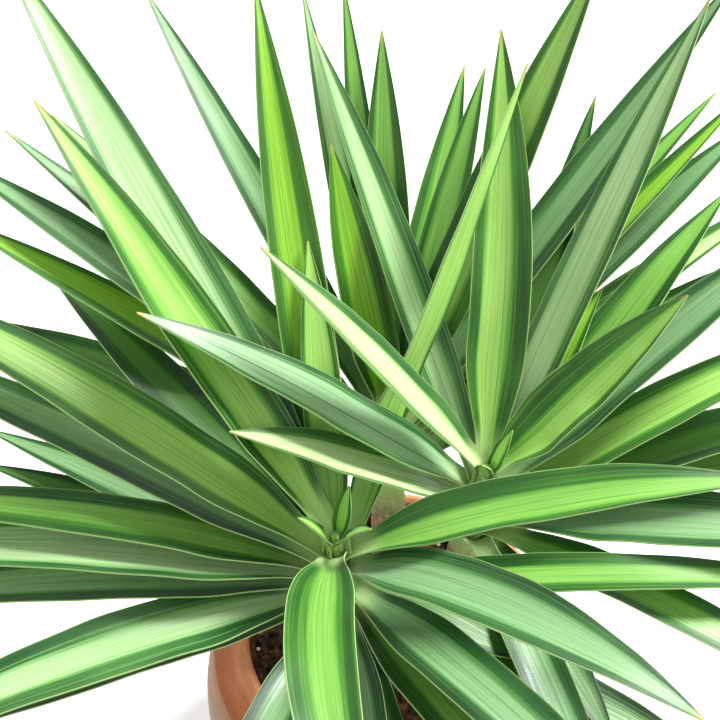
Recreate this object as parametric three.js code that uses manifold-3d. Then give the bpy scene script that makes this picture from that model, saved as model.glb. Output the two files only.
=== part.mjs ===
// A variegated yucca in a round terracotta pot: three leaning canes, each with a
// rosette of sword leaves, standing in potting soil.
//
// Millimetres, +Z up. The origin is the centre of the pot's flat underside, and the
// fullest side of the plant, with its longest low leaves, faces -Y.

import * as THREE from 'three';
import * as BufferGeometryUtils from 'three/addons/utils/BufferGeometryUtils.js';
import Module from 'manifold-3d';

const wasm = await Module();
wasm.setup();

// ---------------------------------------------------------------- driving dimensions

const GAP = 0.4;                 // kept between pieces that stand against each other

// Pot. Its outlines are [radius, height] corners.
const POT_FLOOR = 12;
const POT_MOUTH_RADIUS = 112;    // inside the lip
const POT_OUTSIDE = [[92, 0], [124, 48], [148, 96], [153, 138], [149, 176], [142, 203]];
const POT_COLLAR = [[141, 206], [139, 208], [129, 228], [124, 237], [120, 240], [116, 238]];
const POT_INSIDE = [[82, POT_FLOOR], [114, 52], [137, 98], [143, 138], [136, 172], [POT_MOUTH_RADIUS, 200]];
const POT_THROAT_HEIGHT = 230;   // where the lip's inner edge meets the straight mouth
const POT_CURVE_STEPS = 10;
const POT_SIDES = 48;

// Soil
const SOIL_TOP = 212;
const SOIL_CROWN = 3;            // how much higher the soil stands in the middle

// Canes
const CANE_RADIUS = 14;          // at the soil
const CANE_NECK_RADIUS = 12;     // where the lowest leaves leave it
const CANE_TIP_RADIUS = 2.5;     // at the growing point
const CANE_DEPTH = 90;           // below the soil's surface
const CANE_LEAN = 0.85;          // below 1, a cane leans most near the soil
const CANE_STEP = 34;            // between rings
const CANE_SIDES = 14;

// Leaves
const LEAF_STEPS = 12;           // sections along a leaf
const LEAF_THICKNESS = 2;        // at the midrib, the edges are sharp
const LEAF_BASE_WIDTH = 13;
const LEAF_TIP_WIDTH = 0.8;
const LEAF_NECK = 0.28;          // share of the length over which it widens
const LEAF_POINT = 0.42;         // share of the length from which it narrows to its tip
const LEAF_SPACING = 4.2;        // between one leaf and the next, along the cane
const LEAF_GUTTER = 0.3;         // rise of the edge for each unit of half width, at the base
const LEAF_CLEARANCE = 1;        // kept between leaves that pass each other
const LEAF_ROUNDS = 80;          // most rounds of bending leaves clear of each other
const LEAF_FIRM = [0.06, 0.3];   // shares of the length between which a leaf starts to give

// Each crown is a cane with its leaves. `foot` is where the cane leaves the soil and
// `top` is its growing point. A leaf is given by its heading (degrees from +X), the rise
// of the straight line from its base to its tip, its length and its width. `arch` is how
// many degrees it bends down along its length, `sway` how many it bends to the left,
// and `roll` how far it leans on its own length.
const crowns = [
  {
    name: 'front', foot: [-28, -38], top: [-39, -50, 434],
    leaves: [
      { heading: 141, rise: 48, length: 324, width: 40, arch: 10 },
      { heading: 131, rise: 44, length: 418, width: 40, arch: 6 },
      { heading: 97, rise: 42, length: 194, width: 26, arch: 4 },
      { heading: 101, rise: 42, length: 370, width: 35, arch: 6 },
      { heading: -84, rise: 16, length: 285, width: 40, arch: 60, sway: 34 },
      { heading: -2, rise: 20, length: 278, width: 38, arch: 38 },
      { heading: 162, rise: 30, length: 348, width: 44, arch: 16 },
      { heading: 61, rise: 44, length: 342, width: 26, arch: 4, roll: 74 },
      { heading: -38, rise: 20, length: 268, width: 42, arch: 54 },
      { heading: 165, rise: 24, length: 340, width: 38, arch: 16 },
      { heading: 180, rise: 15, length: 315, width: 34, arch: 32 },
      { heading: 137, rise: 18, length: 305, width: 38, arch: 10 },
      { heading: 185, rise: 12, length: 340, width: 44, arch: 34 },
      { heading: -49, rise: 8, length: 300, width: 40, arch: 30 },
      { heading: 189, rise: 9, length: 330, width: 36, arch: 28 },
      { heading: -56, rise: 5, length: 300, width: 42, arch: 28 },
      { heading: 205, rise: 5, length: 340, width: 44, arch: 32 },
      { heading: -3, rise: 6, length: 330, width: 30, arch: 26 },
      { heading: -84, rise: 2, length: 290, width: 36, arch: 28 },
      { heading: 201, rise: -1, length: 300, width: 36, arch: 28 },
      { heading: -114, rise: 0, length: 290, width: 32, arch: 30 },
      { heading: -27, rise: 0, length: 270, width: 36, arch: 26 },
    ],
  },
  {
    name: 'right', foot: [42, 4], top: [63, 5, 434],
    leaves: [
      { heading: 168, rise: 51, length: 226, width: 30, arch: 8 },
      { heading: 20, rise: 46, length: 176, width: 44, arch: 4 },
      { heading: 88, rise: 50, length: 294, width: 40, arch: 4, sway: 14 },
      { heading: 55, rise: 46, length: 346, width: 30, arch: 6 },
      { heading: 119, rise: 44, length: 322, width: 30, arch: 4 },
      { heading: 178, rise: 38, length: 268, width: 38, arch: 14 },
      { heading: 69, rise: 38, length: 284, width: 28, arch: 8 },
      { heading: 190, rise: 34, length: 192, width: 36, arch: 16 },
      { heading: 27, rise: 34, length: 300, width: 38, arch: 14 },
      { heading: 53, rise: 32, length: 168, width: 24, arch: 4 },
      { heading: 44, rise: 30, length: 280, width: 38, arch: 14 },
      { heading: 13, rise: 29, length: 300, width: 38, arch: 16 },
      { heading: 6, rise: 20, length: 300, width: 38, arch: 20 },
      { heading: 2, rise: 15, length: 300, width: 36, arch: 22 },
      { heading: -11, rise: 9, length: 300, width: 46, arch: 24 },
      { heading: -31, rise: -2, length: 290, width: 32, arch: 26 },
      { heading: -73, rise: -2, length: 270, width: 32, arch: 28 },
    ],
  },
  {
    name: 'back', foot: [0, 42], top: [-2, 49, 434],
    leaves: [
      { heading: 112, rise: 58, length: 192, width: 34, arch: 4 },
      { heading: 92, rise: 50, length: 266, width: 33, arch: 4 },
      { heading: 53, rise: 50, length: 346, width: 38, arch: 6 },
      { heading: 130, rise: 42, length: 342, width: 28, arch: 4 },
      { heading: 70, rise: 44, length: 262, width: 28, arch: 8 },
      { heading: 41, rise: 39, length: 394, width: 34, arch: 2 },
      { heading: 76, rise: 36, length: 278, width: 32, arch: 8 },
      { heading: 150, rise: 37, length: 320, width: 28, arch: 8 },
      { heading: 34, rise: 33, length: 350, width: 26, arch: 2 },
      { heading: 153, rise: 33, length: 342, width: 28, arch: 8 },
      { heading: 33, rise: 30, length: 350, width: 40, arch: 8 },
      { heading: 158, rise: 30, length: 370, width: 38, arch: 14 },
      { heading: 25, rise: 26, length: 340, width: 32, arch: 12 },
      { heading: 163, rise: 28, length: 350, width: 34, arch: 12 },
      { heading: 21, rise: 22, length: 330, width: 32, arch: 14 },
      { heading: 166, rise: 14, length: 350, width: 38, arch: 18 },
    ],
  },
];

// ---------------------------------------------------------------- finishes

const terracotta = () => new THREE.MeshStandardMaterial({ color: 0xb4673e, roughness: 0.85, metalness: 0 });
const pottingSoil = () => new THREE.MeshStandardMaterial({ color: 0x3a2c20, roughness: 1, metalness: 0 });
const caneBark = () => new THREE.MeshStandardMaterial({ color: 0x9c8a66, roughness: 0.9, metalness: 0 });
const leafGreen = () => new THREE.MeshStandardMaterial({ color: 0x5f9440, roughness: 0.5, metalness: 0 });

// ---------------------------------------------------------------- shape helpers

const radians = THREE.MathUtils.degToRad;
const mix = THREE.MathUtils.lerp;

// A closed skin over a row of rings that all have the same number of points. Squares on
// opposite sides are cut the same way, so a thin piece keeps its thickness as it twists.
function skin(rings) {
  const sides = rings[0].length;
  const positions = rings.flat().flatMap((point) => [point.x, point.y, point.z]);
  const faces = [];
  for (let row = 0; row < rings.length - 1; row++) {
    for (let side = 0; side < sides; side++) {
      const next = (side + 1) % sides;
      const a = row * sides + side;
      const b = row * sides + next;
      if (side < sides / 2) {
        faces.push(a, b, b + sides, a, b + sides, a + sides);
      } else {
        faces.push(a, b, a + sides, b, b + sides, a + sides);
      }
    }
  }
  const last = (rings.length - 1) * sides;
  for (let side = 1; side < sides - 1; side++) {
    faces.push(0, side + 1, side);
    faces.push(last, last + side, last + side + 1);
  }
  const geometry = new THREE.BufferGeometry();
  geometry.setAttribute('position', new THREE.Float32BufferAttribute(positions, 3));
  geometry.setIndex(faces);
  return geometry;
}

// A solid of revolution about Z from a profile of [radius, height] points.
function turned(profile, sides) {
  const points = profile.map(([radius, height]) => new THREE.Vector2(radius, height));
  const geometry = new THREE.LatheGeometry(points, sides);
  geometry.rotateX(Math.PI / 2);
  return geometry;
}

function toSolid(geometry) {
  const plain = geometry.clone();
  plain.deleteAttribute('normal');
  plain.deleteAttribute('uv');
  const merged = BufferGeometryUtils.mergeVertices(plain, 1e-4);
  return new wasm.Manifold(new wasm.Mesh({
    numProp: 3,
    vertProperties: new Float32Array(merged.attributes.position.array),
    triVerts: new Uint32Array(merged.index.array),
  }));
}

function fromSolid(solid) {
  const mesh = solid.getMesh();
  const geometry = new THREE.BufferGeometry();
  geometry.setAttribute('position', new THREE.Float32BufferAttribute(mesh.vertProperties, 3));
  geometry.setIndex(Array.from(mesh.triVerts));
  return geometry;
}

// ---------------------------------------------------------------- pot and soil

// The hollow, from its floor up to the mouth, drawn in by `inset`.
function hollow(inset) {
  return POT_INSIDE.map(([radius, height], corner) => [radius - inset, corner === 0 ? height + inset : height]);
}

function potGeometry() {
  const corners = POT_OUTSIDE.map(([radius, height]) => new THREE.Vector2(radius, height));
  const outside = new THREE.SplineCurve(corners).getPoints(POT_CURVE_STEPS).map(({ x, y }) => [x, y]);
  const throat = [POT_MOUTH_RADIUS, POT_THROAT_HEIGHT];
  const inside = hollow(0).reverse();
  return turned([[0, 0], ...outside, ...POT_COLLAR, throat, ...inside, [0, POT_FLOOR]], POT_SIDES);
}

// The soil fills the pot's hollow, GAP clear of its walls, round each cane.
function soilGeometry(canes) {
  const fill = turned([
    [0, POT_FLOOR + GAP],
    ...hollow(GAP),
    [POT_MOUTH_RADIUS - GAP, SOIL_TOP],
    [POT_MOUTH_RADIUS / 2, SOIL_TOP + SOIL_CROWN],
    [0, SOIL_TOP + SOIL_CROWN],
  ], POT_SIDES);
  const sockets = canes.map((crown) => toSolid(caneGeometry(crown, GAP)));
  return fromSolid(sockets.reduce((soil, socket) => soil.subtract(socket), toSolid(fill)));
}

// ---------------------------------------------------------------- canes

// The middle of a cane at a height above the underside of the pot.
function caneCentre(crown, height) {
  const along = (height - SOIL_TOP) / (crown.top[2] - SOIL_TOP);
  const lean = along < 0 ? 0 : along ** CANE_LEAN;
  return new THREE.Vector3(
    mix(crown.foot[0], crown.top[0], lean),
    mix(crown.foot[1], crown.top[1], lean),
    height,
  );
}

// A cane keeps its girth up to its lowest leaf and then narrows to its growing point.
function caneRadius(crown, height) {
  const neck = crown.top[2] - crown.leaves.length * LEAF_SPACING;
  if (height > neck) {
    return mix(CANE_NECK_RADIUS, CANE_TIP_RADIUS, (height - neck) / (crown.top[2] - neck));
  }
  const along = THREE.MathUtils.clamp((height - SOIL_TOP) / (neck - SOIL_TOP), 0, 1);
  return mix(CANE_RADIUS, CANE_NECK_RADIUS, along);
}

function caneGeometry(crown, grow = 0) {
  const heights = [SOIL_TOP - CANE_DEPTH - grow];
  for (let height = SOIL_TOP - CANE_STEP; height < crown.top[2]; height += CANE_STEP) heights.push(height);
  heights.push(crown.top[2]);
  const rings = heights.map((height) => {
    const centre = caneCentre(crown, height);
    const radius = caneRadius(crown, height) + grow;
    return Array.from({ length: CANE_SIDES }, (_, side) => {
      const turn = (side / CANE_SIDES) * 2 * Math.PI;
      return new THREE.Vector3(
        centre.x + radius * Math.cos(turn),
        centre.y + radius * Math.sin(turn),
        height,
      );
    });
  });
  return skin(rings);
}

// ---------------------------------------------------------------- leaves

// Half the leaf's width at a place along it: a narrow neck, full width, and a long point.
function halfWidth(leaf, along) {
  const neck = THREE.MathUtils.smoothstep(along, 0, LEAF_NECK);
  const point = along < LEAF_POINT ? 1 : 1 - ((along - LEAF_POINT) / (1 - LEAF_POINT)) ** 2;
  const tip = LEAF_TIP_WIDTH / leaf.width;
  return (Math.max(mix(LEAF_BASE_WIDTH / leaf.width, 1, neck) * point, tip) * leaf.width) / 2;
}

// The line that a leaf's midrib follows, as LEAF_STEPS + 1 points from base to tip.
function midrib(crown, leaf, place) {
  const height = crown.top[2] - (place + 0.5) * LEAF_SPACING;
  const arch = leaf.arch ?? 0;
  const sway = leaf.sway ?? 0;
  const step = leaf.length / LEAF_STEPS;
  const heading = radians(leaf.heading - sway / 2);
  const reach = caneRadius(crown, height) + GAP + LEAF_THICKNESS;
  const point = caneCentre(crown, height);
  point.x += reach * Math.cos(heading);
  point.y += reach * Math.sin(heading);
  const points = [point.clone()];
  for (let index = 0; index < LEAF_STEPS; index++) {
    const along = (index + 0.5) / LEAF_STEPS - 0.5;
    const rise = radians(leaf.rise - arch * along);
    const turn = radians(leaf.heading + sway * along);
    point.x += step * Math.cos(rise) * Math.cos(turn);
    point.y += step * Math.cos(rise) * Math.sin(turn);
    point.z += step * Math.sin(rise);
    points.push(point.clone());
  }
  return points;
}

// Directions along, across and out of the upper face at every point of the midrib.
function directions(leaf, points) {
  const turn = radians(leaf.heading);
  const level = new THREE.Vector3(Math.sin(turn), -Math.cos(turn), 0);
  return points.map((_, index) => {
    const before = points[Math.max(index - 1, 0)];
    const after = points[Math.min(index + 1, points.length - 1)];
    const along = after.clone().sub(before).normalize();
    const across = level.clone().addScaledVector(along, -level.dot(along)).normalize();
    const roll = radians(leaf.roll ?? 0) * THREE.MathUtils.smoothstep(index / points.length, 0, 0.4);
    across.applyAxisAngle(along, roll);
    const face = new THREE.Vector3().crossVectors(across, along);
    return { along, across, face };
  });
}

function edgeLift(index) {
  return LEAF_GUTTER * (1 - (0.6 * index) / LEAF_STEPS);
}

// Each section's corners: one edge, the upper midrib, the other edge, the lower midrib.
function leafSections(leaf, points) {
  return directions(leaf, points).map(({ across, face }, index) => {
    const half = halfWidth(leaf, index / LEAF_STEPS);
    const lift = half * edgeLift(index);
    const thick = mix(LEAF_THICKNESS, LEAF_THICKNESS / 3, index / LEAF_STEPS) / 2;
    const corners = [[-half, lift], [0, thick], [half, lift], [0, -thick]];
    return corners.map(([side, out]) => (
      points[index].clone().addScaledVector(across, side).addScaledVector(face, out)
    ));
  });
}

// ---------------------------------------------------------------- leaves that pass each other

// Thin boxes over the two halves of each stretch of a leaf.
function leafBoxes(leaf, points) {
  const frames = directions(leaf, points);
  const boxes = [];
  for (let index = 0; index < LEAF_STEPS; index++) {
    const { along, across, face } = frames[index];
    const half = (halfWidth(leaf, index / LEAF_STEPS) + halfWidth(leaf, (index + 1) / LEAF_STEPS)) / 2;
    const middle = points[index].clone().add(points[index + 1]).multiplyScalar(0.5);
    const reach = points[index].distanceTo(points[index + 1]) / 2;
    for (const side of [-1, 1]) {
      const slope = across.clone().multiplyScalar(side).addScaledVector(face, edgeLift(index)).normalize();
      const out = new THREE.Vector3().crossVectors(slope, along).normalize();
      boxes.push({
        index,
        middle,
        centre: middle.clone().addScaledVector(slope, half / 2),
        axes: [along, slope, out],
        halves: [reach, half / 2, (LEAF_THICKNESS + LEAF_CLEARANCE) / 2],
        bound: Math.hypot(reach, half / 2, 2),
      });
    }
  }
  return boxes;
}

function halfSpan(box, axis) {
  return box.axes.reduce((sum, own, index) => sum + box.halves[index] * Math.abs(own.dot(axis)), 0);
}

// The shortest move that takes box a clear of box b, pointing the way `side` points,
// or null when the two are clear already.
function shortestMove(a, b, side) {
  const between = a.centre.clone().sub(b.centre);
  const trials = [...a.axes, ...b.axes];
  for (const first of a.axes) {
    for (const second of b.axes) {
      const cross = new THREE.Vector3().crossVectors(first, second);
      if (cross.lengthSq() > 0.02) trials.push(cross.normalize());
    }
  }
  let best = null;
  for (const axis of trials) {
    const room = halfSpan(a, axis) + halfSpan(b, axis);
    if (Math.abs(between.dot(axis)) >= room) return null;
    const way = Math.sign(side.dot(axis)) || 1;
    const depth = room - way * between.dot(axis);
    if (!best || depth < best.depth) best = { depth, axis: axis.clone().multiplyScalar(way) };
  }
  return best;
}

// From b's midrib to a's, where the two pass closest.
function passingSide(a, b) {
  let best = null;
  for (const p of a.points.slice(2)) {
    for (const q of b.points.slice(2)) {
      const apart = p.clone().sub(q);
      if (!best || apart.lengthSq() < best.lengthSq()) best = apart;
    }
  }
  return best;
}

// Moves leaves that run through each other apart, a little at a time, as leaves that
// grow past each other bend. Each keeps its base, and a move is spread along the leaf.
function passClear(plants) {
  const sides = new Map();
  for (let round = 0; round < LEAF_ROUNDS; round++) {
    plants.forEach((plant) => {
      plant.boxes = leafBoxes(plant.leaf, plant.points);
      plant.bounds = new THREE.Box3().setFromPoints(plant.points).expandByScalar(24);
      plant.moves = plant.points.map(() => new THREE.Vector3());
    });
    let meetings = 0;
    for (let i = 0; i < plants.length; i++) {
      for (let j = i + 1; j < plants.length; j++) {
        const [a, b] = [plants[i], plants[j]];
        if (!a.bounds.intersectsBox(b.bounds)) continue;
        for (const boxA of a.boxes) {
          for (const boxB of b.boxes) {
            if (boxA.index + boxB.index < 3) continue;
            if (boxA.centre.distanceTo(boxB.centre) > boxA.bound + boxB.bound) continue;
            const key = `${i}/${j}`;
            if (!sides.has(key)) sides.set(key, passingSide(a, b));
            const move = shortestMove(boxA, boxB, sides.get(key));
            if (!move) continue;
            meetings++;
            push(a, boxA.index, move.axis, move.depth / 2);
            push(b, boxB.index, move.axis, -move.depth / 2);
          }
        }
      }
    }
    if (meetings === 0) break;
    plants.forEach(spread);
  }
}

// Keeps the longest push that each end of a stretch has had in this round.
function push(plant, index, axis, amount) {
  for (const end of [index, index + 1]) {
    if (Math.abs(amount) > plant.moves[end].length()) {
      plant.moves[end].copy(axis).multiplyScalar(amount);
    }
  }
}

// Shares the pushes out along the leaf and moves its points, but not its base.
function spread(plant) {
  const count = plant.points.length;
  let moves = plant.moves;
  for (let pass = 0; pass < 3; pass++) {
    moves = moves.map((move, index) => {
      const before = moves[Math.max(index - 1, 0)];
      const after = moves[Math.min(index + 1, count - 1)];
      return move.clone().multiplyScalar(0.5).addScaledVector(before, 0.25).addScaledVector(after, 0.25);
    });
  }
  plant.points.forEach((point, index) => {
    const free = THREE.MathUtils.smoothstep(index / (count - 1), ...LEAF_FIRM);
    point.addScaledVector(moves[index], free);
  });
}

// ---------------------------------------------------------------- the plant in its pot

const plant = new THREE.Group();

function addPiece(name, geometry, material) {
  const mesh = new THREE.Mesh(geometry, material);
  mesh.name = name;
  plant.add(mesh);
}

addPiece('pot', potGeometry(), terracotta());
addPiece('soil', soilGeometry(crowns), pottingSoil());

for (const crown of crowns) {
  addPiece(`${crown.name}_cane`, caneGeometry(crown), caneBark());
}

const allLeaves = crowns.flatMap((crown) => crown.leaves.map((leaf, place) => ({
  name: `${crown.name}_leaf_${String(place + 1).padStart(2, '0')}`,
  leaf,
  points: midrib(crown, leaf, place),
})));
passClear(allLeaves);
for (const { name, leaf, points } of allLeaves) {
  addPiece(name, skin(leafSections(leaf, points)), leafGreen());
}

export default plant;
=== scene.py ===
"""A variegated yucca in a round terracotta pot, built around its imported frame."""

import math

import bmesh
import bpy
import numpy as np
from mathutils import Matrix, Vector


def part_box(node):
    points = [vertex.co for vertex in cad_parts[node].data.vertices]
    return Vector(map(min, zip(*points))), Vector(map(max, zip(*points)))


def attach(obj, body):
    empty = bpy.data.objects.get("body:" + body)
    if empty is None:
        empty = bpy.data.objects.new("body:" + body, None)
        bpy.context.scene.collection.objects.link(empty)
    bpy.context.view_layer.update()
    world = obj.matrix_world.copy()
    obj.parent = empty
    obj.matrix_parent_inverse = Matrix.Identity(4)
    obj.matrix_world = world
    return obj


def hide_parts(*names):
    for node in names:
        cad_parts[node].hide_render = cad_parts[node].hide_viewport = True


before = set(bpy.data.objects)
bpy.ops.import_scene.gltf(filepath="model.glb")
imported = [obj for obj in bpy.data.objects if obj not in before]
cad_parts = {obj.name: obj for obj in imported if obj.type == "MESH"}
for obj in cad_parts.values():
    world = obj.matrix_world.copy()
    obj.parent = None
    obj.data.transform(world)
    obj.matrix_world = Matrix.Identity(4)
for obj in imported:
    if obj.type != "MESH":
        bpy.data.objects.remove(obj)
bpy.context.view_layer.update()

# ------------------------------------------------------------------ camera and light


def add_camera():
    lens = bpy.data.cameras.new("view")
    lens.lens = 60
    lens.sensor_width = 36
    camera = bpy.data.objects.new("view", lens)
    camera.location = (-0.023, -0.486, 1.087)
    camera.rotation_euler = (math.radians(42), 0, 0)
    bpy.context.scene.collection.objects.link(camera)
    bpy.context.scene.camera = camera


def add_softbox(name, place, aim, size, watts):
    lamp = bpy.data.lights.new(name, "AREA")
    lamp.shape = "DISK"
    lamp.size = size
    lamp.energy = watts
    softbox = bpy.data.objects.new(name, lamp)
    softbox.location = place
    softbox.rotation_euler = (Vector(aim) - Vector(place)).to_track_quat("-Z", "Y").to_euler()
    bpy.context.scene.collection.objects.link(softbox)


def add_studio():
    world = bpy.data.worlds.new("studio")
    world.use_nodes = True
    world.node_tree.nodes["Background"].inputs["Color"].default_value = (1.0, 1.0, 1.0, 1)
    world.node_tree.nodes["Background"].inputs["Strength"].default_value = 0.68
    bpy.context.scene.world = world
    add_softbox("key_softbox", (1.3, 1.0, 2.2), (0.0, 0.0, 0.4), 0.7, 120)
    bpy.context.scene.view_settings.view_transform = "Standard"


# ------------------------------------------------------------------ working in Blender


def start_fresh():
    for other in list(bpy.context.selected_objects):
        other.select_set(False)


def keep_as(name, finish):
    """Names the active object, gives it its finish and puts it on the plant's only body."""
    piece = bpy.context.object
    piece.name = name
    piece.data.name = name
    piece.data.materials.clear()
    piece.data.materials.append(finish)
    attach(piece, "root")
    return piece


def coordinates(mesh):
    flat = np.empty(len(mesh.vertices) * 3)
    mesh.vertices.foreach_get("co", flat)
    return flat.reshape(-1, 3)


def set_coordinates(mesh, places):
    mesh.vertices.foreach_set("co", np.asarray(places, np.float32).ravel())
    mesh.update()


def merged_points(node):
    """A node's corners with its doubles merged, and which corners an edge joins."""
    work = bmesh.new()
    work.from_mesh(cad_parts[node].data)
    bmesh.ops.remove_doubles(work, verts=work.verts, dist=1e-6)
    work.verts.index_update()
    points = np.array([corner.co for corner in work.verts])
    joined = [[edge.other_vert(corner).index for edge in corner.link_edges] for corner in work.verts]
    work.free()
    return points, joined


def smooth_rows(rows, count):
    """The rows of a table carried on a smooth curve, read off at count + 1 even places."""
    rows = np.asarray(rows, float)
    spans = len(rows) - 1
    padded = np.vstack([2 * rows[0] - rows[1], rows, 2 * rows[-1] - rows[-2]])
    at = np.linspace(0, spans, count + 1)
    first = np.minimum(at.astype(int), spans - 1)
    t = (at - first)[:, None]
    a, b, c, d = (padded[first + i] for i in range(4))
    return b + 0.5 * t * (c - a + t * (2 * a - 5 * b + 4 * c - d + t * (3 * (b - c) + d - a)))


def unit(rows):
    return rows / np.maximum(np.linalg.norm(rows, axis=-1, keepdims=True), 1e-12)


# ------------------------------------------------------------------ finishes


def paint(red, green, blue):
    """A paint-chart colour, 0 to 255 each, as the linear colour a shader takes."""
    return tuple((level / 255) ** 2.2 for level in (red, green, blue)) + (1.0,)


class Finish:
    """A material whose nodes are added one at a time."""

    def __init__(self, name, roughness=0.5, specular=0.5):
        self.material = bpy.data.materials.new(name)
        self.material.use_nodes = True
        self.tree = self.material.node_tree
        self.shader = self.tree.nodes["Principled BSDF"]
        self.shader.inputs["Roughness"].default_value = roughness
        self.shader.inputs["Specular IOR Level"].default_value = specular

    def node(self, kind, **settings):
        made = self.tree.nodes.new("ShaderNode" + kind)
        for name, value in settings.items():
            setattr(made, name, value)
        return made

    def link(self, out, into):
        self.tree.links.new(out, into)

    def place(self, scale=(1, 1, 1), uv=None):
        """Object coordinates, or a UV map's, stretched."""
        if uv:
            source = self.node("UVMap", uv_map=uv).outputs["UV"]
        else:
            source = self.node("TexCoord").outputs["Object"]
        mapping = self.node("Mapping")
        mapping.inputs["Scale"].default_value = scale
        self.link(source, mapping.inputs["Vector"])
        return mapping.outputs["Vector"]

    def noise(self, place, scale=1.0, detail=3.0, roughness=0.5):
        made = self.node("TexNoise")
        made.inputs["Scale"].default_value = scale
        made.inputs["Detail"].default_value = detail
        made.inputs["Roughness"].default_value = roughness
        self.link(place, made.inputs["Vector"])
        return made.outputs["Fac"]

    def split(self, vector):
        made = self.node("SeparateXYZ")
        self.link(vector, made.inputs[0])
        return made.outputs

    def sum(self, operation, first, second):
        made = self.node("Math", operation=operation)
        for socket, value in zip(made.inputs, (first, second)):
            if isinstance(value, (int, float)):
                socket.default_value = value
            else:
                self.link(value, socket)
        return made.outputs[0]

    def spread(self, value, low, high, new_low, new_high):
        made = self.node("MapRange")
        sockets = ("From Min", "From Max", "To Min", "To Max")
        for name, level in zip(sockets, (low, high, new_low, new_high)):
            made.inputs[name].default_value = level
        self.link(value, made.inputs["Value"])
        return made.outputs["Result"]

    def ramp(self, value, stops, interpolation="LINEAR"):
        made = self.node("ValToRGB")
        made.color_ramp.interpolation = interpolation
        elements = made.color_ramp.elements
        while len(elements) > 1:
            elements.remove(elements[-1])
        elements[0].position, elements[0].color = stops[0]
        for position, tint in stops[1:]:
            elements.new(position).color = tint
        self.link(value, made.inputs["Fac"])
        return made.outputs["Color"]

    def mix(self, share, first, second, blend="MIX"):
        made = self.node("Mix", data_type="RGBA", blend_type=blend)
        sockets = (made.inputs[0], made.inputs[6], made.inputs[7])
        for socket, value in zip(sockets, (share, first, second)):
            if isinstance(value, (int, float, tuple)):
                socket.default_value = value
            else:
                self.link(value, socket)
        return made.outputs[2]

    def bump(self, height, strength, distance, under=None):
        made = self.node("Bump")
        made.inputs["Strength"].default_value = strength
        made.inputs["Distance"].default_value = distance
        self.link(height, made.inputs["Height"])
        if under:
            self.link(under, made.inputs["Normal"])
        return made.outputs["Normal"]

    def set(self, socket, value):
        if isinstance(value, (int, float, tuple)):
            self.shader.inputs[socket].default_value = value
        else:
            self.link(value, self.shader.inputs[socket])


BLACK = (0.0, 0.0, 0.0, 1.0)
WHITE = (1.0, 1.0, 1.0, 1.0)


def grey(level):
    return (level, level, level, 1.0)


def leaf_finish(name, centre, flank, margin, roughness=0.42, streak=0.16, crease=0.0):
    """Leaf skin: a pale centre band between dark margins, broken into lengthwise streaks.

    The "tone" map runs from one edge (0) over the band (1/3 to 2/3) to the other edge (1)
    and from the base (0) to the tip (1). The "grain" map has the leaf's real size.
    """
    leaf = Finish(name, roughness)
    tone, along, _ = leaf.split(leaf.place(uv="tone"))
    streaks = leaf.noise(leaf.place((240, 3.5, 1), uv="grain"), 1, 4, 0.62)
    wander = leaf.sum("MULTIPLY", leaf.sum("SUBTRACT", streaks, 0.5), streak * 2)
    across = leaf.sum("ADD", tone, wander)
    dark = tuple(0.62 * level for level in margin[:3]) + (1.0,)
    skin = leaf.ramp(across, [
        (0.0, margin), (0.10, dark), (0.25, margin), (0.30, flank), (0.36, centre),
        (0.64, centre), (0.70, flank), (0.75, margin), (0.90, dark), (1.0, margin),
    ])
    threads = leaf.noise(leaf.place((620, 4.5, 1), uv="grain"), 1, 3, 0.55)
    skin = leaf.mix(leaf.spread(threads, 0.52, 0.66, 0.0, 0.65), skin, flank)
    veins = leaf.noise(leaf.place((1100, 9, 1), uv="grain"), 1, 3, 0.6)
    vein_tint = leaf.ramp(veins, [(0.25, grey(0.70)), (0.5, grey(1.0)), (0.75, grey(1.22))])
    skin = leaf.mix(1.0, skin, vein_tint, "MULTIPLY")
    clouds = leaf.noise(leaf.place((22, 11, 1), uv="grain"), 1, 2, 0.5)
    skin = leaf.mix(leaf.spread(clouds, 0.35, 0.75, 0.0, 0.35), skin, flank)
    if crease:
        # A dark line along the midrib of a folded leaf: painted shade in the crease.
        crease_shade = leaf.ramp(tone, [(0.485, BLACK), (0.5, grey(crease)), (0.515, BLACK)])
        skin = leaf.mix(crease_shade, skin, margin)
    sheath = leaf.ramp(along, [(0.02, grey(1.0)), (0.10, grey(0.7)), (0.19, BLACK)], "EASE")
    skin = leaf.mix(sheath, skin, paint(196, 222, 150))
    rim = leaf.ramp(tone, [
        (0.0, grey(0.9)), (0.007, grey(0.6)), (0.018, BLACK),
        (0.982, BLACK), (0.993, grey(0.6)), (1.0, grey(0.9)),
    ])
    skin = leaf.mix(rim, skin, paint(168, 200, 122))
    point = leaf.ramp(along, [(0.965, BLACK), (1.0, grey(1.0))])
    skin = leaf.mix(point, skin, paint(176, 176, 92))
    leaf.set("Base Color", skin)
    leaf.set("Roughness", leaf.spread(streaks, 0.3, 0.7, roughness - 0.07, roughness + 0.09))
    leaf.set("Sheen Weight", 0.06)
    leaf.set("Normal", leaf.bump(veins, 0.35, 0.0005, leaf.bump(streaks, 0.3, 0.0012)))
    return leaf.material
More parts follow.
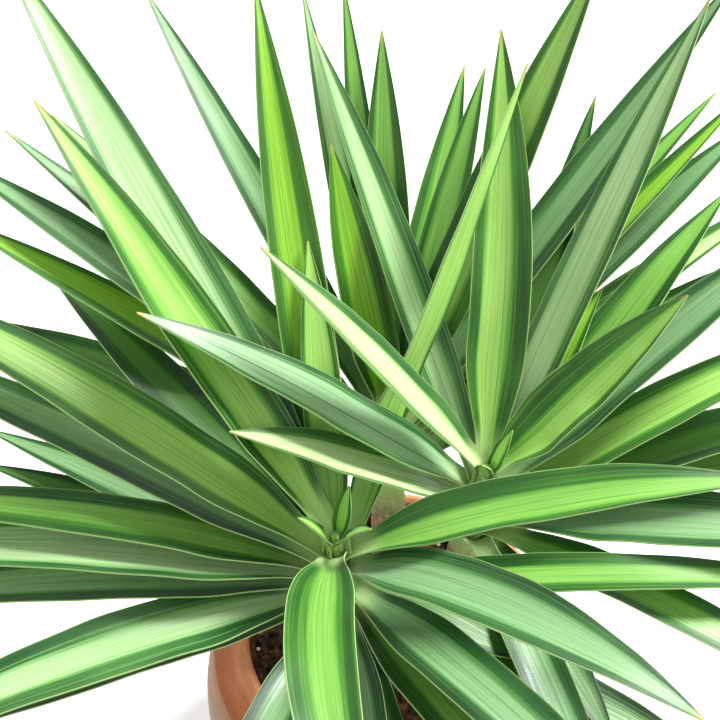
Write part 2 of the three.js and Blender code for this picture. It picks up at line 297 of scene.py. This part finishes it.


# Each leaf finish: its centre band, the flanks beside it and the margins, then how rough it
# is, how far its streaks wander and how dark its midrib crease is (painted shade in the
# crease), where they aren't usual. The darkest set is painted shade for leaves under others,
# and the two pale bluish sets are partly waxy bloom, partly painted sky reflection.
LEAF_PAINTS = {
    "bright": ((164, 212, 104), (104, 168, 58), (40, 98, 26)),
    "lime": ((140, 196, 52), (92, 152, 28), (40, 98, 14)),
    # Pale bluish paint: partly waxy bloom, partly painted sky reflection.
    "pale": ((172, 206, 146), (116, 168, 92), (42, 98, 42), 0.38),
    "cream": ((196, 222, 158), (138, 186, 102), (46, 102, 44), 0.36),
    # Grey-blue paint: partly waxy bloom, partly painted sky reflection.
    "bloom_and_reflection": ((130, 170, 118), (86, 136, 74), (34, 84, 36), 0.35),
    "fresh": ((126, 180, 78), (82, 142, 46), (34, 88, 24), 0.38),
    # Darker copy of the leaf paints: painted shade for leaves lying under others.
    "painted_shade": ((78, 128, 52), (52, 102, 34), (24, 66, 18), 0.4),
    "folded": ((160, 200, 150), (112, 162, 98), (38, 94, 42), 0.36, 0.14, 0.8),
}


def leaf_finishes():
    finishes = {}
    for look, (centre, flank, margin, *surface) in LEAF_PAINTS.items():
        tints = [paint(*tint) for tint in (centre, flank, margin)]
        finishes[look] = leaf_finish("leaf_" + look, *tints, *surface)
    return finishes


def terracotta_finish(top):
    """Fired clay, orange at the collar, with a pale chalky bloom on the belly and lighter towards the
    crest, a painted highlight.
    """
    clay = Finish("terracotta", 0.86, 0.3)
    place = clay.place()
    height = clay.split(place)[2]
    mottle = clay.noise(clay.place((1, 1, 1.6)), 16, 5, 0.6)
    fine = clay.noise(place, 260, 4, 0.65)
    level = clay.sum("ADD", height, clay.sum("MULTIPLY", clay.sum("SUBTRACT", mottle, 0.5), 0.03))
    level = clay.spread(level, 0, top, 0, 1)
    # The ramp's top stops, lighter towards the crest, are a painted highlight on the lip.
    body = clay.ramp(level, [
        (0.0, paint(176, 150, 132)), (0.25, paint(186, 166, 150)), (0.62, paint(184, 160, 143)),
        (0.80, paint(178, 138, 112)), (0.868, paint(170, 110, 76)), (0.90, paint(172, 100, 62)),
        (0.96, paint(186, 110, 70)), (1.0, paint(206, 138, 96)),
    ])
    blotches = clay.ramp(mottle, [(0.3, grey(0.86)), (0.7, grey(1.1))])
    specks = clay.ramp(fine, [(0.3, grey(0.9)), (0.7, grey(1.08))])
    body = clay.mix(1.0, body, blotches, "MULTIPLY")
    body = clay.mix(1.0, body, specks, "MULTIPLY")
    clay.set("Base Color", body)
    rings = clay.noise(clay.place((3, 3, 420)), 1, 2, 0.5)
    clay.set("Normal", clay.bump(fine, 0.35, 0.0006, clay.bump(rings, 0.25, 0.0008)))
    return clay.material


def damp_and_shaded_clay_finish():
    clay = Finish("terracotta_inside", 0.8, 0.3)
    mottle = clay.noise(clay.place((1, 1, 2)), 30, 5, 0.6)
    # The dark red-brown inside is partly damp clay and partly painted shade inside the pot.
    clay.set("Base Color", clay.ramp(mottle, [(0.3, paint(96, 46, 26)), (0.7, paint(146, 78, 48))]))
    clay.set("Normal", clay.bump(clay.noise(clay.place(), 260, 4, 0.6), 0.4, 0.0006))
    return clay.material


def soil_finish():
    soil = Finish("potting_soil", 0.95, 0.2)
    place = soil.place()
    lumps = soil.noise(place, 90, 6, 0.7)
    fibres = soil.noise(soil.place((900, 260, 500)), 1, 3, 0.6)
    earth = soil.ramp(lumps, [
        (0.32, paint(26, 20, 16)), (0.5, paint(60, 44, 32)), (0.68, paint(96, 72, 50)),
    ])
    earth = soil.mix(soil.spread(fibres, 0.62, 0.72, 0.0, 0.7), earth, paint(136, 104, 74))
    soil.set("Base Color", earth)
    soil.set("Normal", soil.bump(lumps, 0.9, 0.003))
    return soil.material


def bark_finish(low, high):
    """Grey-brown bark between leaf scars, turning green under the leaves."""
    bark = Finish("cane_bark", 0.85, 0.25)
    place = bark.place()
    height = bark.split(place)[2]
    flakes = bark.noise(bark.place((260, 260, 90)), 1, 5, 0.65)
    scars = bark.noise(bark.place((30, 30, 420)), 1, 3, 0.5)
    wood = bark.ramp(flakes, [
        (0.3, paint(94, 76, 52)), (0.5, paint(146, 124, 90)), (0.72, paint(188, 166, 126)),
    ])
    rings = bark.ramp(scars, [(0.38, grey(0.6)), (0.52, grey(1.05))])
    wood = bark.mix(1.0, wood, rings, "MULTIPLY")
    green = bark.ramp(bark.spread(height, low, high, 0, 1), [(0.52, BLACK), (0.68, grey(1.0))])
    bark.set("Base Color", bark.mix(green, wood, paint(158, 186, 112)))
    bark.set("Normal", bark.bump(flakes, 0.6, 0.0015, bark.bump(scars, 0.5, 0.0015)))
    return bark.material


def crumb_finish(name, dark, light):
    crumb = Finish(name, 0.9, 0.2)
    grain = crumb.noise(crumb.place(), 420, 4, 0.6)
    crumb.set("Base Color", crumb.ramp(grain, [(0.3, dark), (0.7, light)]))
    crumb.set("Normal", crumb.bump(grain, 0.6, 0.0008))
    return crumb.material


# ------------------------------------------------------------------ leaves

BLADE_CELLS = 12          # faces across a blade
BLADE_ROWS = 65           # faces along a blade
BLADE_THICKNESS = 0.0009
RIPPLE_HALF_WIDTH = 0.02  # half width at which an edge ripples by its full depth
SHEATH_DROP = 0.014       # how far the base reaches down the cane below where the blade leaves it
SHEATH_SINK = 0.005       # how far it reaches into the cane


def blade_blank():
    """A flat blade, one unit long and wide, that every leaf is shaped from."""
    start_fresh()
    bpy.ops.mesh.primitive_grid_add(x_subdivisions=BLADE_CELLS, y_subdivisions=BLADE_ROWS, size=1)
    blank = bpy.context.object
    blank.data.uv_layers[0].name = "tone"
    blank.data.uv_layers.new(name="grain")
    return blank


def shape_blade(blank, name, rows, finish, band, seed, ripple=0.0008):
    """Copies the blank and lays it along a leaf.

    rows holds, from base to tip: the midrib's point, the direction across, the direction
    out of the upper face, the half width, and the edge's lift over the half width.
    """
    start_fresh()
    blade = blank.copy()
    blade.data = blank.data.copy()
    bpy.context.scene.collection.objects.link(blade)
    blade.select_set(True)
    bpy.context.view_layer.objects.active = blade

    flat = coordinates(blade.data)
    side = flat[:, 0] * 2
    row = np.rint((flat[:, 1] + 0.5) * BLADE_ROWS).astype(int)
    fine = smooth_rows(rows, BLADE_ROWS)[row]
    middle, across, face = fine[:, 0:3], unit(fine[:, 3:6]), unit(fine[:, 6:9])
    half, gutter = np.maximum(fine[:, 9], 0.00025), fine[:, 10]

    bend = 2 * np.arctan(gutter)
    out = half * np.sin(bend * side) / np.sin(bend)
    lift = half * (1 - np.cos(bend * side)) / np.sin(bend)
    draw = np.random.default_rng(seed)
    along = row / BLADE_ROWS
    for count in (2.3, 4.1, 7.7):
        turn = draw.uniform(0, 2 * math.pi, 2)
        run = 2 * math.pi * count * along
        wave = np.where(side < 0, np.sin(run + turn[0]), np.sin(run + turn[1]))
        depth = ripple * 2.3 / count * np.abs(side) ** 1.6
        lift += depth * wave * np.clip(along * 6 - 0.6, 0, 1) * half / RIPPLE_HALF_WIDTH
    set_coordinates(blade.data, middle + across * out[:, None] + face * lift[:, None])

    length = np.linalg.norm(np.diff(np.asarray(rows)[:, 0:3], axis=0), axis=1).sum()
    corner = np.empty(len(blade.data.loops), int)
    blade.data.loops.foreach_get("vertex_index", corner)
    share = (side + 1) / 2
    tone = np.interp(share, (0, band[0], band[1], 1), (0, 1 / 3, 2 / 3, 1))
    widest = half.max()
    maps = {
        "tone": (tone, along),
        "grain": (share * widest * 2 + draw.uniform(0, 9), along * length + draw.uniform(0, 9)),
    }
    for key, (first, second) in maps.items():
        pairs = np.stack([first, second], 1)[corner]
        blade.data.uv_layers[key].data.foreach_set("uv", pairs.ravel().astype(np.float32))

    solid = blade.modifiers.new("thickness", "SOLIDIFY")
    solid.thickness = BLADE_THICKNESS
    solid.offset = -1
    bpy.ops.object.modifier_apply(modifier=solid.name)
    bpy.ops.object.shade_smooth_by_angle(angle=math.radians(40))
    return keep_as(name, finish)


def leaf_sections(node):
    """The 13 sections of a leaf's solid, each as its four corners, from base to tip."""
    points, joined = merged_points(node)
    cane = node.split("_")[0] + "_cane"
    crown = np.array(crown_top(cane))
    tip = np.argmax(np.linalg.norm(points - crown, axis=1))
    layer = list(np.argsort(np.linalg.norm(points - points[tip], axis=1))[:4])
    seen = set(layer)
    layers = [layer]
    while len(seen) < len(points):
        layer = sorted({other for corner in layer for other in joined[corner]} - seen)
        seen.update(layer)
        layers.append(layer)
    return [points[layer] for layer in reversed(layers)]


def crown_top(cane):
    """The growing point of a cane."""
    low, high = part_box(cane)
    tops = [corner.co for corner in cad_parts[cane].data.vertices if corner.co.z > high.z - 0.0005]
    return sum(tops, Vector()) / len(tops)


def edge_pair(corners):
    """The two corners of a section that are furthest apart."""
    pairs = [(i, j) for i in range(4) for j in range(i)]
    return list(max(pairs, key=lambda pair: np.linalg.norm(corners[pair[0]] - corners[pair[1]])))


def rows_of(node):
    """The rows that shape_blade takes, read from a leaf's solid, with the sheath added."""
    sections = leaf_sections(node)
    left, right, middle = [], [], []
    for corners in sections:
        a, b = edge_pair(corners)
        if left and np.dot(corners[a] - corners[b], left[-1] - right[-1]) < 0:
            a, b = b, a
        left.append(corners[a])
        right.append(corners[b])
        middle.append(np.delete(corners, [a, b], axis=0).mean(axis=0))
    left, right, middle = np.array(left), np.array(right), np.array(middle)
    along = unit(np.gradient(middle, axis=0))
    across = unit(right - left)
    raised = (left + right) / 2 - middle
    face = unit(np.cross(across, along))
    if (raised * face).sum() < 0:
        across, face = -across, -face
    half = np.linalg.norm(right - left, axis=1) / 2
    gutter = np.linspace(0.3, 0.12, len(half))
    gutter[:3] = (0.55, 0.45, 0.36)
    half[0] *= 1.2
    outward = along[0] * (1, 1, 0)
    start = middle[0] - unit(outward) * SHEATH_SINK - np.array([0, 0, SHEATH_DROP])
    middle = np.vstack([start, middle])
    across = np.vstack([across[:1], across])
    up = unit(middle[1] - middle[0])
    face = np.vstack([unit(np.cross(across[0], up)), face])
    half = np.concatenate([[0.0095], half])[:, None]
    gutter = np.concatenate([[0.62], gutter])[:, None]
    return np.hstack([middle, across, face, half, gutter])


# Finish, and where the pale band begins and ends across the blade, for each crown's leaves
# from the top one down.
LEAF_LOOKS = {
    "front": [
        ("bright", 0.22, 0.72), ("pale", 0.16, 0.80), ("bright", 0.16, 0.84), ("lime", 0.24, 0.60),
        ("fresh", 0.28, 0.64), ("fresh", 0.38, 0.90), ("bright", 0.22, 0.78), ("bright", 0.08, 0.94),
        ("bloom_and_reflection", 0.26, 0.76), ("bloom_and_reflection", 0.30, 0.72), ("fresh", 0.30, 0.74), ("painted_shade", 0.30, 0.70),
        ("pale", 0.16, 0.82), ("bloom_and_reflection", 0.26, 0.72), ("bloom_and_reflection", 0.28, 0.74), ("fresh", 0.26, 0.70),
        ("pale", 0.34, 0.70), ("fresh", 0.30, 0.72), ("bloom_and_reflection", 0.24, 0.74), ("painted_shade", 0.26, 0.70),
        ("bloom_and_reflection", 0.28, 0.74), ("painted_shade", 0.28, 0.72),
    ],
    "right": [
        ("cream", 0.22, 0.72), ("bright", 0.48, 0.90), ("bright", 0.22, 0.60), ("pale", 0.20, 0.78),
        ("pale", 0.22, 0.64), ("folded", 0.14, 0.84), ("painted_shade", 0.26, 0.72), ("cream", 0.06, 0.70),
        ("bloom_and_reflection", 0.20, 0.74), ("lime", 0.18, 0.80), ("fresh", 0.24, 0.74), ("bright", 0.26, 0.78),
        ("painted_shade", 0.40, 0.80), ("fresh", 0.28, 0.74), ("bloom_and_reflection", 0.28, 0.78), ("fresh", 0.28, 0.74),
        ("bloom_and_reflection", 0.26, 0.66),
    ],
    "back": [
        ("lime", 0.24, 0.72), ("fresh", 0.24, 0.74), ("bright", 0.24, 0.70), ("bloom_and_reflection", 0.24, 0.76),
        ("fresh", 0.24, 0.74), ("bloom_and_reflection", 0.24, 0.72), ("fresh", 0.26, 0.74), ("fresh", 0.26, 0.76),
        ("lime", 0.44, 0.90), ("bloom_and_reflection", 0.24, 0.76), ("bloom_and_reflection", 0.22, 0.76), ("bloom_and_reflection", 0.26, 0.72),
        ("cream", 0.46, 0.88), ("lime", 0.20, 0.84), ("fresh", 0.24, 0.70), ("painted_shade", 0.26, 0.72),
    ],
}


def make_leaves(blank, finishes):
    seed = 1
    for crown, looks in LEAF_LOOKS.items():
        for number, (look, first, last) in enumerate(looks, start=1):
            node = f"{crown}_leaf_{number:02d}"
            blade = shape_blade(blank, node + "_blade", rows_of(node), finishes[look], (first, last), seed)
            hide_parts(node)
            seed += 1


# Leaves with no solid of their own, being small, or hidden behind others: the crown, how
# far below its growing point they start, heading from +X and rise in degrees, length and
# width, how many degrees they bend down, and finish.
SMALL_LEAVES = [
    ("front", 0.006, 60, 70, 0.040, 0.012, 10, "bright"),
    ("front", 0.008, 200, 62, 0.044, 0.013, 20, "bright"),
    ("front", 0.008, 320, 58, 0.050, 0.014, 30, "bright"),
    ("right", 0.008, 250, 66, 0.036, 0.012, 10, "bright"),
    ("right", 0.010, 30, 70, 0.040, 0.012, 10, "bright"),
    ("back", 0.006, 240, 72, 0.050, 0.014, 8, "fresh"),
    ("back", 0.006, 20, 76, 0.060, 0.014, 8, "fresh"),
    ("back", 0.010, 99, 48, 0.305, 0.022, 4, "fresh"),
    ("back", 0.012, 106, 45, 0.310, 0.022, 4, "pale"),
    ("back", 0.030, 40, 27, 0.350, 0.028, 4, "fresh"),
    ("front", 0.060, 161, 14, 0.262, 0.030, 10, "bloom_and_reflection"),
    ("front", 0.066, 165, 12, 0.255, 0.030, 14, "painted_shade"),
    ("front", 0.050, 138, 15, 0.195, 0.034, 8, "painted_shade"),
    ("front", 0.055, -22, -8, 0.135, 0.040, 24, "painted_shade"),
    ("front", 0.090, -74, -2, 0.240, 0.034, 24, "painted_shade"),
    ("right", 0.080, -65, 0, 0.180, 0.032, 24, "painted_shade"),
]


def bent_rows(crown, below, heading, rise, length, width, arch):
    """The rows for a leaf that bends evenly downwards from its base to its tip."""
    turn = math.radians(heading)
    out = np.array([math.cos(turn), math.sin(turn), 0])
    across = np.array([math.sin(turn), -math.cos(turn), 0])
    steps = 12
    point = np.array(crown_top(crown + "_cane")) - (0, 0, below) + out * 0.004
    rows = []
    for step in range(-1, steps + 1):
        share = max(step, 0) / steps
        slope = math.radians(rise + arch / 2 - arch * share)
        along = out * math.cos(slope) + np.array([0, 0, math.sin(slope)])
        narrow = width * min(1, 0.4 + 2.2 * share) * (1 - max(0, (share - 0.4) / 0.6) ** 2)
        gutter = 0.6 - 0.45 * min(1, share * 3)
        place = point - out * SHEATH_SINK - (0, 0, SHEATH_DROP) if step < 0 else point
        face = np.cross(across, along)
        rows.append(np.concatenate([place, across, face, [max(narrow, 0.0006) / 2, gutter]]))
        if step >= 0:
            point = point + along * (length / steps)
    return np.array(rows)


def make_small_leaves(blank, finishes):
    for number, (*shape, look) in enumerate(SMALL_LEAVES, start=1):
        name = f"young_leaf_{number:02d}"
        shape_blade(blank, name, bent_rows(*shape), finishes[look], (0.22, 0.76), 200 + number)


# ------------------------------------------------------------------ canes

CANE_SIDES = 40
CANE_ROWS = 130
SCAR_PITCH = 0.0085       # between one ring of leaf scars and the next
SOIL_LEVEL = 0.212        # where the bark comes out of the soil


def make_cane(node, finish, seed):
    """A cane with rings of leaf scars, on the centre line and girth of its solid."""
    points, _ = merged_points(node)
    heights = sorted({round(z, 4) for z in points[:, 2]})
    rings = [points[abs(points[:, 2] - z) < 2e-4] for z in heights]
    centres = np.array([ring.mean(axis=0) for ring in rings])
    girths = np.array([np.linalg.norm(ring - ring.mean(axis=0), axis=1).mean() for ring in rings])

    start_fresh()
    low, high = heights[0], heights[-1]
    bpy.ops.mesh.primitive_cylinder_add(vertices=CANE_SIDES, radius=1, depth=1, end_fill_type="NGON")
    bpy.ops.object.mode_set(mode="EDIT")
    bpy.ops.mesh.select_all(action="DESELECT")
    work = bmesh.from_edit_mesh(bpy.context.object.data)
    for edge in work.edges:
        edge.select_set(abs(edge.verts[0].co.z - edge.verts[1].co.z) > 0.5)
    bmesh.update_edit_mesh(bpy.context.object.data)
    bpy.ops.mesh.subdivide(number_cuts=CANE_ROWS - 1)
    bpy.ops.object.mode_set(mode="OBJECT")
    mesh = bpy.context.object.data
    flat = coordinates(mesh)
    height = low + (flat[:, 2] + 0.5) * (high - low)
    angle = np.arctan2(flat[:, 1], flat[:, 0])
    draw = np.random.default_rng(seed)
    turns = draw.uniform(0, 2 * math.pi, 6)
    sway = 0.18 * np.sin(2 * angle + turns[0]) + 0.12 * np.sin(3 * angle + turns[1])
    phase = height / SCAR_PITCH + sway
    ridge = np.abs((phase + angle / (2 * math.pi)) % 1 - 0.5) * 2
    scar = 0.0007 * ridge ** 3 - 0.0006 * (ridge < 0.18)
    lumps = 0.0005 * np.sin(5 * angle + 60 * height + turns[2]) * np.sin(90 * height + turns[3])
    grown = np.interp(height, heights, girths) + scar + lumps
    grown = np.where(np.hypot(flat[:, 0], flat[:, 1]) < 0.5, 0, grown)
    centre = np.stack([np.interp(height, heights, centres[:, axis]) for axis in range(3)], 1)
    x = centre[:, 0] + grown * np.cos(angle)
    y = centre[:, 1] + grown * np.sin(angle)
    set_coordinates(mesh, np.stack([x, y, height], 1))
    bpy.ops.object.shade_smooth()
    cane = keep_as(node + "_bark", finish)
    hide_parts(node)


# ------------------------------------------------------------------ pot and soil

POT_SIDES = 128

# Radius and height, from the foot over the belly, step and collar to the crest, in shares
# of the pot's height.
POT_OUTSIDE = [
    (0.383, 0.000), (0.400, 0.008), (0.440, 0.075), (0.517, 0.200), (0.572, 0.300), (0.617, 0.400),
    (0.634, 0.490), (0.6375, 0.575), (0.632, 0.660), (0.621, 0.733), (0.602, 0.805), (0.5915, 0.846),
    (0.5895, 0.853), (0.5900, 0.860), (0.5880, 0.867), (0.5800, 0.874), (0.5600, 0.910), (0.5400, 0.945),
    (0.5280, 0.967), (0.5180, 0.986), (0.5060, 0.997), (0.4960, 1.000), (0.4840, 0.994), (0.4740, 0.980),
    (0.4680, 0.958),
]
POT_INSIDE = [
    (0.4667, 0.920), (0.4667, 0.850), (0.5200, 0.780), (0.5958, 0.575), (0.5708, 0.408),
    (0.4750, 0.217), (0.3417, 0.050),
]


def turn_profile(profile, height):
    """A closed turned shape: a disc whose rim is extruded and resized from ring to ring."""
    start_fresh()
    first_radius, first_level = profile[0]
    bpy.ops.mesh.primitive_circle_add(
        vertices=POT_SIDES, radius=first_radius * height, fill_type="NGON",
        location=(0, 0, first_level * height),
    )
    bpy.ops.object.mode_set(mode="EDIT")
    bpy.ops.mesh.select_all(action="SELECT")
    for (radius, level), (next_radius, next_level) in zip(profile, profile[1:]):
        step = (0, 0, (next_level - level) * height)
        bpy.ops.mesh.extrude_region_move(TRANSFORM_OT_translate={"value": step})
        ratio = next_radius / radius
        bpy.ops.transform.resize(value=(ratio, ratio, 1), center_override=(0, 0, next_level * height))
    bpy.ops.mesh.select_all(action="SELECT")
    bpy.ops.mesh.normals_make_consistent(inside=False)
    bpy.ops.object.mode_set(mode="OBJECT")
    bpy.ops.object.transform_apply(location=True, rotation=True, scale=True)


def make_pot(outside_finish, inside_finish):
    low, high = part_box("pot")
    height = high.z - low.z
    turn_profile(POT_OUTSIDE + POT_INSIDE, height)
    bpy.ops.object.shade_smooth_by_angle(angle=math.radians(35))
    pot = keep_as("pot_clay", outside_finish)
    pot.data.materials.append(inside_finish)
    # Faces inside the pot take the darker inside finish, which is partly painted shade.
    for face in pot.data.polygons:
        middle = face.center
        in_throat = math.hypot(middle.x, middle.y) < 0.4676 * height and middle.z > 0.045 * height
        faces_in = face.normal.dot(Vector((middle.x, middle.y, 0))) < 0
        in_hollow = faces_in and 0.01 < middle.z < 0.9 * height
        face.material_index = 1 if in_throat or in_hollow else 0
    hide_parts("pot")


# What lies loose on the soil: how many, the least and most half size, and the flatness.
LOOSE_BITS = [
    ("soil_crumbs", 300, 0.0012, 0.0034, 0.8),
    ("bark_bits", 60, 0.003, 0.008, 0.35),
    ("pale_grains", 26, 0.0012, 0.0026, 0.9),
]


def make_soil(finish, crumb_finishes):
    """A lumpy bed of soil with loose crumbs, bark bits and a few pale grains on it."""
    low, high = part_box("soil")
    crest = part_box("pot")[1].z
    radius = 0.4667 * crest
    start_fresh()
    bpy.ops.mesh.primitive_grid_add(x_subdivisions=150, y_subdivisions=150, size=2)
    mesh = bpy.context.object.data
    flat = coordinates(mesh)
    far = np.maximum(np.abs(flat[:, 0]), np.abs(flat[:, 1]))
    length = np.maximum(np.hypot(flat[:, 0], flat[:, 1]), 1e-9)
    disc = flat[:, :2] / length[:, None] * far[:, None] * (radius - 0.0004)
    draw = np.random.default_rng(7)
    bumps = np.zeros(len(disc))
    for size, depth in ((0.030, 0.0016), (0.012, 0.0012), (0.006, 0.0009), (0.0035, 0.0007)):
        for _ in range(6):
            turn = draw.uniform(0, 2 * math.pi)
            shift = draw.uniform(0, 2 * math.pi)
            wave = (disc[:, 0] * math.cos(turn) + disc[:, 1] * math.sin(turn)) * 2 * math.pi / size
            bumps += depth / 2.4 * np.sin(wave + shift)
    edge = np.clip((1 - far) * 12, 0, 1)
    level = high.z - 0.0035 + 0.002 * (1 - far) + bumps * edge
    set_coordinates(mesh, np.column_stack([disc, level]))
    solid = bpy.context.object.modifiers.new("depth", "SOLIDIFY")
    solid.thickness = 0.02
    solid.offset = -1
    bpy.ops.object.modifier_apply(modifier=solid.name)
    bpy.ops.object.shade_smooth_by_angle(angle=math.radians(60))
    bed = keep_as("soil_bed", finish)
    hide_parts("soil")

    for (name, count, least, most, flatness), crumbs in zip(LOOSE_BITS, crumb_finishes):
        start_fresh()
        pieces = []
        for _ in range(count):
            bpy.ops.mesh.primitive_ico_sphere_add(subdivisions=1, radius=1)
            piece = bpy.context.object
            size = draw.uniform(least, most)
            shape = coordinates(piece.data) * draw.uniform(0.7, 1.25, (len(piece.data.vertices), 3))
            shape = shape * (size, size * draw.uniform(0.5, 1), size * flatness)
            turn = draw.uniform(0, 2 * math.pi)
            tilt = draw.uniform(-0.4, 0.4)
            x = shape[:, 0] * math.cos(turn) - shape[:, 1] * math.sin(turn)
            y = shape[:, 0] * math.sin(turn) + shape[:, 1] * math.cos(turn)
            out = radius * 0.96 * math.sqrt(draw.uniform(0, 1))
            way = draw.uniform(0, 2 * math.pi)
            ground = high.z - 0.0025 + 0.002 * (1 - out / radius)
            set_coordinates(piece.data, np.column_stack([
                x + out * math.cos(way), y + out * math.sin(way), shape[:, 2] + x * tilt + ground,
            ]))
            pieces.append(piece)
        for piece in pieces:
            piece.select_set(True)
        bpy.context.view_layer.objects.active = pieces[0]
        bpy.ops.object.join()
        keep_as(name, crumbs)


# ------------------------------------------------------------------ floor


def make_floor():
    start_fresh()
    bpy.ops.mesh.primitive_plane_add(size=14, location=(0, 0, 0))
    floor = bpy.context.object
    floor.name = "floor"
    card = Finish("white_card", 0.9, 0.2)
    cloud = card.noise(card.place(), 3, 3, 0.5)
    card.set("Base Color", card.ramp(cloud, [(0.3, grey(0.86)), (0.7, grey(0.9))]))
    card.set("Emission Color", WHITE)
    card.set("Emission Strength", 0.3)
    floor.data.materials.append(card.material)


# ------------------------------------------------------------------ the plant in its pot

add_camera()
add_studio()
make_floor()
make_pot(terracotta_finish(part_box("pot")[1].z), damp_and_shaded_clay_finish())
make_soil(soil_finish(), [
    crumb_finish("soil_crumb", paint(34, 25, 18), paint(84, 62, 44)),
    crumb_finish("bark_bit", paint(88, 56, 34), paint(150, 106, 70)),
    crumb_finish("pale_grain", paint(190, 182, 164), paint(228, 222, 206)),
])
for number, crown_name in enumerate(LEAF_LOOKS):
    cane_name = crown_name + "_cane"
    growing_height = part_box(cane_name)[1].z
    make_cane(cane_name, bark_finish(SOIL_LEVEL, growing_height), 40 + number)
leaf_skins = leaf_finishes()
leaf_blank = blade_blank()
make_leaves(leaf_blank, leaf_skins)
make_small_leaves(leaf_blank, leaf_skins)
bpy.data.objects.remove(leaf_blank)
